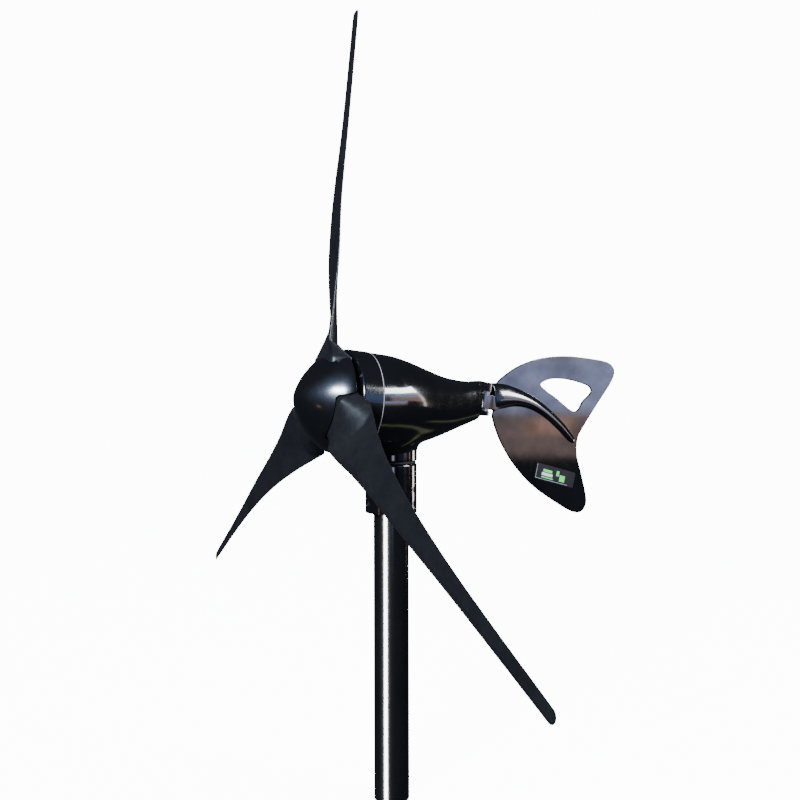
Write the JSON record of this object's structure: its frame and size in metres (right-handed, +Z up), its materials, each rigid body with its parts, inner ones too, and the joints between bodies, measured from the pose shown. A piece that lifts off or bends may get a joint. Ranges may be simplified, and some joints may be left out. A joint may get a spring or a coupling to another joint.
{
  "type": "small wind turbine",
  "caption": "Small horizontal-axis wind turbine: rotor with spinner, streamlined yawing nacelle and a hinged tail fin with a cut-out, on a short length of tubular mast.",
  "frame": {"origin": "centre of the mast tube's lower end", "axes": "+Z up along the mast, -Y towards the nose and the wind, +Y towards the tail, +X to the right seen from the front"},
  "size_m": [1.0468, 0.6228, 1.2064],
  "materials": {
    "mast_paint": "gloss black paint on steel tube",
    "body_paint": "gloss black paint on cast aluminium",
    "spinner_gloss": "gloss black moulding",
    "blade_nylon": "satin black glass-filled nylon",
    "fin_paint": "gloss black paint on aluminium sheet",
    "label": "printed vinyl",
    "seal_rubber": "matte",
    "gasket_sheet": "matte",
    "brass": "machined",
    "insulator": "phenolic board",
    "carbon": "pressed graphite",
    "copper": "enamelled copper wire",
    "lamination": "laminated electrical steel",
    "magnet": "nickel-plated magnet",
    "machined_steel": "machined",
    "cast_aluminium": "as cast",
    "bearing_steel": "ground",
    "fastener_steel": "zinc plated"
  },
  "bodies": {
    "mast": {"mast_tube": "mast_paint", "mast_adapter": "body_paint", "mast_set_screws": "fastener_steel", "yaw_spindle": "machined_steel", "spindle_screws": "fastener_steel", "yaw_seal": "seal_rubber", "lower_yaw_inner_race": "bearing_steel", "lower_yaw_balls": "bearing_steel", "upper_yaw_inner_race": "bearing_steel", "upper_yaw_balls": "bearing_steel", "spindle_circlip": "fastener_steel", "slip_ring_sleeve": "insulator", "slip_rings": "brass"},
    "nacelle": {"nacelle_shell": "body_paint", "yaw_housing": "machined_steel", "housing_circlip": "fastener_steel", "lower_yaw_outer_race": "bearing_steel", "upper_yaw_outer_race": "bearing_steel", "brush_holder": "insulator", "brushes": "carbon", "brush_springs": "machined_steel", "front_cover": "body_paint", "cover_gasket": "gasket_sheet", "cover_screws": "fastener_steel", "shaft_seal": "seal_rubber", "front_outer_race": "bearing_steel", "stator_core": "lamination", "stator_windings": "copper", "rear_bearing_plate": "cast_aluminium", "plate_bolts": "fastener_steel", "rear_outer_race": "bearing_steel", "hinge_bolt": "fastener_steel", "hinge_nut": "fastener_steel", "hinge_washers": "fastener_steel"},
    "rotor": {"rotor_shaft": "machined_steel", "shaft_key": "machined_steel", "rotor_core": "lamination", "rotor_magnets": "magnet", "front_inner_race": "bearing_steel", "front_balls": "bearing_steel", "rear_inner_race": "bearing_steel", "rear_balls": "bearing_steel", "hub": "machined_steel", "hub_washer": "fastener_steel", "hub_nut": "fastener_steel", "blade_1": "blade_nylon", "blade_2": "blade_nylon", "blade_3": "blade_nylon", "blade_clamp_plate": "machined_steel", "blade_bolts": "fastener_steel", "spinner": "spinner_gloss", "spinner_grommets": "seal_rubber"},
    "tail": {"tail_arm": "body_paint", "knuckle_bush": "brass", "tail_fin": "fin_paint", "fin_screws": "fastener_steel", "fin_label": "label"}
  },
  "joints": [
    {"name": "yaw", "type": "hinge", "parent": "mast", "child": "nacelle", "pos_m": [0, 0, 0.6], "axis": [0, 0, 1], "continuous": true},
    {"name": "rotor_spin", "type": "hinge", "parent": "nacelle", "child": "rotor", "pos_m": [0, -0.10012, 0.60876], "axis": [0, -0.9962, 0.0872], "continuous": true},
    {"name": "tail_fold", "type": "hinge", "parent": "nacelle", "child": "tail", "pos_m": [0, 0.173, 0.606], "axis": [0, 0.1392, 0.9903], "range_deg": [-45, 45]}
  ]
}
